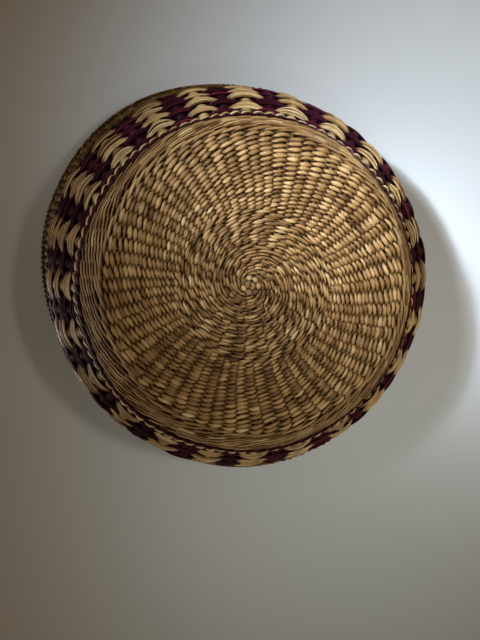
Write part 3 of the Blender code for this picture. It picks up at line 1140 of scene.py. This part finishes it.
@dataclass
class RimRoll:
    """The rolled rim: a core covered by fine rows of twining, whose stitches slant over it."""

    form: BasketForm
    radius: float = 3.6 * MM
    lift: float = 4.6 * MM
    stitches: int = 240
    rows: int = 8
    steps: int = 4
    sides: int = 6
    reach: float = 0.5 * MM
    reach_power: float = 0.75
    half_thickness: float = 0.75 * MM
    slant: float = 0.3
    wave: float = 0.08
    rise_play: float = 0.12 * MM
    plump_play: float = 0.1
    tones: StrawTones = StrawTones(0.34, 0.12, 0.2, 5)
    core_points: int = 192
    core_inset: float = 0.1 * MM
    seed: int = 90

    def build(self) -> bpy.types.Object:
        """Builds the rows round the roll as one object.

        Returns:
            The linked object.
        """
        rng = np.random.default_rng(self.seed)
        loom = Loom(self.form)
        where = np.arange(self.stitches * self.steps) / self.steps
        angle = where * tau / self.stitches
        stitches = Stitches(rng, where + 0.5, self.stitches)
        wave = _random_ripple(rng, angle, (5, 11, 17), self.wave)
        thick = np.full(len(where), self.half_thickness)
        for row in range(self.rows):
            for strand in range(2):
                phase = pi * (where + strand)
                over = np.cos(phase)
                swell = np.abs(over)
                turn = tau * (row + 0.5 + self.slant * np.sin(phase) + wave) / self.rows
                rise = np.where(over > 0, stitches.play(self.rise_play) * swell, 0)
                radius = self.radius + self.reach * np.sign(over) * swell ** self.reach_power + rise
                plump = 1 + stitches.play(self.plump_play) * swell
                half_width = pi * self.radius / self.rows * (0.6 + 0.5 * swell) * plump
                loom.add(StrawRun(
                    angle, self.form.outline.rim + self.lift + radius * np.sin(turn), radius * np.cos(turn),
                    half_width, thick, stitches.tones(self.tones), length_unit=float(self.stitches),
                    depth=_dive_shade(swell), inner=_inside(over), facing_run=np.sin(turn), facing_out=np.cos(turn),
                    sides=self.sides
                ))
        return loom.weave("rim_roll_binding")

    def core(self) -> bpy.types.Object:
        """Builds the core inside the rows, all in the dark gap colour: painted shade that shows between them.

        Returns:
            The linked object.
        """
        loom = Loom(self.form)
        angle = np.arange(self.core_points) * tau / self.core_points
        run, out, thick, tone = (np.full(self.core_points, size) for size in (
            self.form.outline.rim + self.lift, 0.0, self.radius - self.core_inset, 0.1))
        loom.add(StrawRun(angle, run, out, thick, thick, tone, length_unit=96.0, depth=1.0, sides=12))
        return loom.weave("rim_roll_core")


@dataclass
class Knot:
    """The start of the weave: a few round stitches over the crossed stakes.

    Each ring is given as its radius, its count of stitches and how far it stands out, in millimetres.
    """

    form: BasketForm
    rings: tuple[tuple[float, int, float], ...] = ((1.8 * MM, 2, 2.0), (5.4 * MM, 7, 1.9))
    steps: int = 10
    sides: int = 10
    oval: float = 0.35 * MM
    tones: StrawTones = StrawTones(0.5, 0.2, 0.15, 1)
    seed: int = 3

    def build(self) -> bpy.types.Object:
        """Builds the start as one object.

        Returns:
            The linked object.
        """
        rng = np.random.default_rng(self.seed)
        loom = Loom(self.form)
        for radius, count, stand in self.rings:
            where = np.arange(count * self.steps) / self.steps
            angle = where * tau / count + rng.uniform(0, 1)
            swell = np.abs(np.cos(pi * where)) ** 0.7
            loom.add(StrawRun(
                angle, radius + self.oval * np.sin(2 * angle + 1.0), stand * MM * (0.82 + 0.18 * swell),
                (0.7 + 1.35 * swell) * MM, (0.5 + 0.5 * swell) * MM,
                Stitches(rng, where + 0.5, count).tones(self.tones), length_unit=float(count),
                depth=_dive_shade(swell, 0.8), sides=self.sides
            ))
        return loom.weave("centre_knot_straws")


@dataclass
class Basket:
    """The whole basket, built from the centre to the rim."""

    finishes: Finishes
    form: BasketForm = field(default_factory=BasketForm)
    line_distance: float = 22.8 * MM
    line_edge: float = 0.5 * MM
    course_pairs: int = 4
    narrow_share: float = 0.41
    band_gap: float = 2.2 * MM

    def build(self) -> None:
        """Builds and dresses every sub-assembly."""
        for part in (self._base, self._stakes, self._lower_side, self._band, self._rim):
            part()

    def _base(self) -> None:
        """Builds the knot and the rows of the flat base."""
        self.finishes.dress(Knot(self.form).build(), self.finishes.straw)
        unit = tau / 96
        centre = Loom(self.form)
        TwinedRows(self.form, "first_rows", 7.6 * MM, 12.0 * MM, 2, 8, 3 * unit, 14, reach=1.2 * MM,
                   half_thickness=0.8 * MM, middle_tone=0.38, pairing=0.02, slant=0.34, crossing_share=0.24,
                   stitch_spread=0.15, row_play=0.3, seed=10).lay(centre)
        TwinedRows(self.form, "centre_rows", 12.0 * MM, 26.9 * MM, 7, 16, 3 * unit, 10, reach=1.3 * MM,
                   half_thickness=0.8 * MM, middle_tone=0.36, slant=0.34, crossing_share=0.22,
                   stray_share=0.12, stitch_spread=0.16, row_play=0.2, seed=11).lay(centre)
        self.finishes.dress(centre.weave("base_centre_straws"), self.finishes.straw, "base_centre_weft",
                            "inside_base_centre_weft")
        even = {"row_play": 0.04, "stitch_spread": 0.11}
        loose = {"row_play": 0.12, "stitch_spread": 0.14, "strand_contrast": 0.13, "slant": 0.32,
                 "stray_share": 0.11}
        zones = (
            ("first_ring_straws", 26.9, 29.6, 1, 16, 0.0, 10, 12, 0.34, even, "first_ring_with_16_stakes"),
            ("base_middle_straws", 29.6, 51.6, 9, 32, 0.0, 6, 13, 0.43, loose, "base_middle_weft"),
            ("spread_ring_straws", 51.6, 54.4, 1, 32, 0.75, 8, 14, 0.43, loose, "spread_ring_with_32_stakes"),
            ("base_outer_straws_1", 54.4, 79.8, 9, 64, 0.0, 6, 15, 0.46, even, "base_outer_weft"),
            ("base_outer_straws_2", 79.8, 98.9, 6, 64, 0.0, 6, 16, 0.46, even, "inside_base_outer_weft"),
        )
        for name, start, end, rows, stakes, first, steps, seed, tone, play, node in zones:
            zone = TwinedRows(self.form, name, start * MM, end * MM, rows, stakes, first * unit, steps,
                              seed=seed, middle_tone=tone, **play)
            self.finishes.dress(zone.build(), self.finishes.straw, node)
        edge = Loom(self.form)
        TwinedRows(self.form, "edge_rows", 98.9 * MM, 105.2 * MM, 2, 64, seed=17).lay(edge)
        Wale(self.form, "edge_wale", 105.2 * MM, 109.2 * MM, 1, 66, half_thickness=1.05 * MM,
             width_share=0.36, seed=18).lay(edge)
        self.finishes.dress(edge.weave("edge_wale_straws"), self.finishes.straw, "edge_wale")

    def _stakes(self) -> None:
        """Builds the long stakes and the added ones."""
        stakes = Stakes(self.form)
        for upper in (False, True):
            for number in range(stakes.cross_each_way):
                node = f"{'upper' if upper else 'lower'}_long_stake_{number + 1}"
                self.finishes.dress(stakes.long_stake(number, upper), self.finishes.reed, node)
        first = [6.0 * i for i in range(16)]
        spread = [3.0 * i + 1 for i in range(32)]
        edge = [3.0 * i + 2 for i in range(32)]
        added = (
            ("first_ring_stakes", first, first, 25.5, "first_ring_with_16_stakes"),
            ("spread_ring_stakes", spread, [w + 0.5 for w in spread], 55.0, "spread_ring_with_32_stakes"),
            ("edge_stakes", edge, edge, 106.0, "lower_side_weft_with_32_stakes"),
        )
        for name, wall, tip, start, node in added:
            self.finishes.dress(stakes.added(name, wall, tip, start * MM), self.finishes.reed, node)

    def _lower_side(self) -> None:
        """Builds the rows between the edge and the band."""
        line = self.form.outline.turn_end + self.line_distance
        foot, low, top = line - 6.2 * MM, line - 2.2 * MM, line + 0.9 * MM
        rows = Wale(self.form, "lower_side_straws", 109.2 * MM, foot, 6, 66, slant=0.6, steps=8,
                    reach=2.1 * MM, middle_tone=0.42, shade_turn=0.7, width_share=0.26, end_share=0.14,
                    stitch_spread=0.17, seed=21)
        self.finishes.dress(rows.build(), self.finishes.straw, "lower_side_weft_with_32_stakes",
                            "inside_lower_weft")
        rows = Wale(self.form, "line_purple_straws", foot, low, 1, seed=22, middle_tone=0.32, reach=2.5 * MM,
                    half_thickness=1.05 * MM, width_share=0.38, shade_turn=0.5)
        self.finishes.dress(rows.build(), self.finishes.purple, "line_purple_strand")
        rows = TwinedRows(self.form, "line_natural_straws", low, top, 1, seed=23, middle_tone=0.8, slant=0.42,
                          lift=1.3 * MM, reach=1.4 * MM, half_thickness=0.75 * MM, fullness=0.62,
                          crossing_share=0.12, stake_play=0.03, pairing=0.0, shade_turn=0.5)
        self.finishes.dress(rows.build(), self.finishes.pale, "line_natural_strand")

    def _band(self) -> None:
        """Builds the eight courses of the check band."""
        outline = self.form.outline
        start = outline.turn_end + self.line_distance + self.line_edge
        pair = (outline.band_top - start - self.band_gap) / self.course_pairs
        narrow = pair * self.narrow_share
        both = ((Colour.NATURAL, self.finishes.pale), (Colour.PURPLE, self.finishes.purple))
        for i in range(self.course_pairs):
            low = start + i * pair
            for course in (BandCourse(self.form, 2 * i + 1, low, narrow, Colour.PURPLE),
                           BandCourse(self.form, 2 * i + 2, low + narrow, pair - narrow, Colour.NATURAL)):
                for colour, finish in both:
                    node = f"band_course_{course.number}_{colour.value}_strand"
                    self.finishes.dress(course.build(colour), finish, node)

    def _rim(self) -> None:
        """Builds the rows over the band and the rolled rim."""
        outline = self.form.outline
        rows = TwinedRows(self.form, "upper_side_straws", outline.band_top - self.band_gap,
                          outline.rim + 0.6 * MM, 10, 160, steps=4, sides=6, seed=31, middle_tone=0.36,
                          stitch_spread=0.16, shade_turn=0.7)
        self.finishes.dress(rows.build(), self.finishes.shaded_straw, "upper_side_weft", "inside_upper_weft")
        rim = RimRoll(self.form)
        self.finishes.dress(rim.build(), self.finishes.shaded_straw, "rim_roll")
        self.finishes.dress(rim.core(), self.finishes.shaded_straw)


@dataclass
class PhotoCamera:
    """The camera of the photograph, which looks at the base from outside."""

    tilt: float = radians(9.0)
    tilt_towards: float = radians(149.0)
    distance: float = 0.650
    focal_pixels: float = 924.0
    knot_pixel: tuple[float, float] = (255.0, 287.0)
    frame_pixels: tuple[int, int] = (480, 640)
    first_angle: float = radians(9.4)

    def ray(self, pixel: tuple[float, float], depth: float) -> Vector:
        """Returns the way from the camera to what shows at a pixel of the frame at some depth."""
        width, height = self.frame_pixels
        return Vector(((pixel[0] - width / 2) / self.focal_pixels * depth,
                       (height / 2 - pixel[1]) / self.focal_pixels * depth, -depth))

    def matrix(self) -> Matrix:
        """Works out the camera's place from where the knot and the axis show in the frame.

        Returns:
            The camera's world matrix.
        """
        axis = Vector((sin(self.tilt) * cos(self.tilt_towards), sin(self.tilt) * sin(self.tilt_towards),
                       -cos(self.tilt)))
        right = Vector((-axis.z, 0.0, axis.x)).normalized()
        up = right.cross(axis) * -1.0
        x_axis = right * cos(self.first_angle) + up * sin(self.first_angle)
        y_axis = axis.cross(x_axis)
        turn = Matrix((x_axis, y_axis, axis))
        return Matrix.Translation(turn @ -self.ray(self.knot_pixel, self.distance)) @ turn.to_4x4()

    def build(self) -> bpy.types.Object:
        """Builds the camera and sets it as the scene's camera.

        Returns:
            The camera.
        """
        data = bpy.data.cameras.new("photo_camera")
        data.sensor_fit = "VERTICAL"
        data.sensor_height = 36.0
        data.lens = self.focal_pixels / self.frame_pixels[1] * data.sensor_height
        data.clip_start = 0.01
        data.clip_end = 20.0
        camera = _link("photo_camera", data)
        camera.matrix_world = self.matrix()
        bpy.context.view_layer.update()
        bpy.context.scene.camera = camera
        return camera


@dataclass(frozen=True)
class SpotLamp:
    """A square lamp that lights the place of the base that shows at a pixel, from some way off."""

    name: str
    pixel: tuple[float, float]
    way: Triple
    distance: float
    size: float
    power: float
    colour: Triple
    spread: float

    def build(self, centre: Vector, way: Vector) -> None:
        """Builds the lamp.

        Args:
            centre: the place that it looks at.
            way: the way from there to the lamp, of length one.
        """
        data = bpy.data.lights.new(self.name, "AREA")
        data.shape = "SQUARE"
        data.size = self.size
        data.energy = self.power
        data.color = self.colour
        data.spread = self.spread
        lamp = _link(self.name, data)
        lamp.location = centre + way * self.distance
        lamp.rotation_euler = way.to_track_quat("Z", "Y").to_euler()


@dataclass
class Studio:
    """A pale floor under the basket, a pale board behind its rim, soft lamps and an even world."""

    photo: PhotoCamera
    floor_size: float = 60.0
    board_size: float = 1.4
    board_height: float = 0.112
    paint: Triple = (0.57, 0.65, 0.74)
    paint_roughness: float = 0.85
    spots: tuple[SpotLamp, ...] = (
        SpotLamp("window", (430, 62), (-0.66, 0.3, 1.0), distance=1.6, size=0.32, power=0.35,
                 colour=(0.95, 0.99, 1.0), spread=radians(12.6)),
        SpotLamp("window_gleam", (318, 190), (-0.66, 0.3, 1.0), distance=1.6, size=0.12, power=0.073,
                 colour=(0.92, 0.94, 1.0), spread=radians(7)),
        SpotLamp("side_fill", (490, 310), (0.6, 0.0, 0.9), distance=1.3, size=0.4, power=0.145,
                 colour=(1.0, 0.82, 0.64), spread=radians(18)),
        SpotLamp("low_fill", (405, 560), (0.1, -0.5, 0.9), distance=1.3, size=0.4, power=0.095,
                 colour=(0.85, 1.0, 0.92), spread=radians(18)),
    )
    skies: tuple[tuple[str, Triple, float], ...] = (
        ("sky_key", (0.45, -0.55, 0.9), 2.4), ("sky_fill", (-0.7, 0.4, 0.5), 1.5))
    sky_spread: float = radians(25)
    world_colour: Triple = (1.0, 0.66, 0.37)
    world_strength: float = 0.175
    seen_world_colour: Triple = (0.80, 0.82, 0.84)

    def build(self, camera: bpy.types.Object) -> None:
        """Builds the floor, the board, the lamps and the world.

        Args:
            camera: the photograph's camera.
        """
        self._sheet("floor", self.floor_size, 0.0, False)
        self._sheet("board", self.board_size, self.board_height, True)
        turn = camera.matrix_world.to_3x3()
        for spot in self.spots:
            ray = turn @ self.photo.ray(spot.pixel, 1.0)
            on_base = camera.location + ray * (-camera.location.z / ray.z)
            spot.build(on_base, (turn @ Vector(spot.way)).normalized())
        for name, towards, strength in self.skies:
            self._sky(name, Vector(towards), strength)
        self._world()

    def _sheet(self, name: str, size: float, height: float, faces_down: bool) -> None:
        """Adds a sheet that only a camera on its painted side sees and that blocks no lamp.

        Args:
            name: the sheet's name.
            size: the length of its sides.
            height: where it lies.
            faces_down: whether its painted side faces down.
        """
        build = bmesh.new()
        bmesh.ops.create_grid(build, x_segments=1, y_segments=1, size=size / 2)
        bmesh.ops.translate(build, verts=build.verts, vec=(0, 0, height))
        if faces_down:
            bmesh.ops.reverse_faces(build, faces=build.faces)
        mesh = bpy.data.meshes.new(name)
        build.to_mesh(mesh)
        build.free()
        sheet = _link(name, mesh)
        shader = Shader(f"{name}_paint")
        shader.feed(shader.surface.inputs["Base Color"], self.paint)
        shader.feed(shader.surface.inputs["Roughness"], self.paint_roughness)
        clear = shader.node("ShaderNodeBsdfTransparent")
        mix = shader.node("ShaderNodeMixShader")
        side = shader.node("ShaderNodeNewGeometry").outputs["Backfacing"]
        for index, start in enumerate((side, shader.surface.outputs[0], clear.outputs[0])):
            shader.link(start, mix.inputs[index])
        shader.link(mix.outputs[0], shader.tree.nodes["Material Output"].inputs["Surface"])
        mesh.materials.append(shader.material)
        sheet.visible_shadow = False
        sheet.visible_diffuse = False
        sheet.visible_glossy = False

    def _sky(self, name: str, towards: Vector, strength: float) -> None:
        """Adds a soft even lamp from far off, for the views from above.

        Args:
            name: the lamp's name.
            towards: the way to the lamp.
            strength: its strength.
        """
        data = bpy.data.lights.new(name, "SUN")
        data.energy = strength
        data.angle = self.sky_spread
        _link(name, data).rotation_euler = towards.to_track_quat("Z", "Y").to_euler()

    def _world(self) -> None:
        """Sets an even warm world, with a pale one of its own for the camera."""
        world = bpy.data.worlds.new("studio")
        world.use_nodes = True
        bpy.context.scene.world = world
        tree = world.node_tree
        even, seen = tree.nodes["Background"], tree.nodes.new("ShaderNodeBackground")
        for node, colour, strength in ((even, self.world_colour, self.world_strength),
                                       (seen, self.seen_world_colour, 1.0)):
            node.inputs[0].default_value = (*colour, 1.0)
            node.inputs[1].default_value = strength
        is_camera = tree.nodes.new("ShaderNodeLightPath").outputs["Is Camera Ray"]
        mix = tree.nodes.new("ShaderNodeMixShader")
        for index, start in enumerate((is_camera, even.outputs[0], seen.outputs[0])):
            tree.links.new(start, mix.inputs[index])
        tree.links.new(mix.outputs[0], tree.nodes["World Output"].inputs[0])


def main() -> None:
    """Builds the camera, the basket and the studio."""
    logging.basicConfig(level=logging.INFO, format="%(message)s")
    bpy.context.scene.view_settings.view_transform = "Standard"
    photo = PhotoCamera()
    camera = photo.build()
    Basket(Finishes()).build()
    Studio(photo).build(camera)


if __name__ == "__main__":
    main()
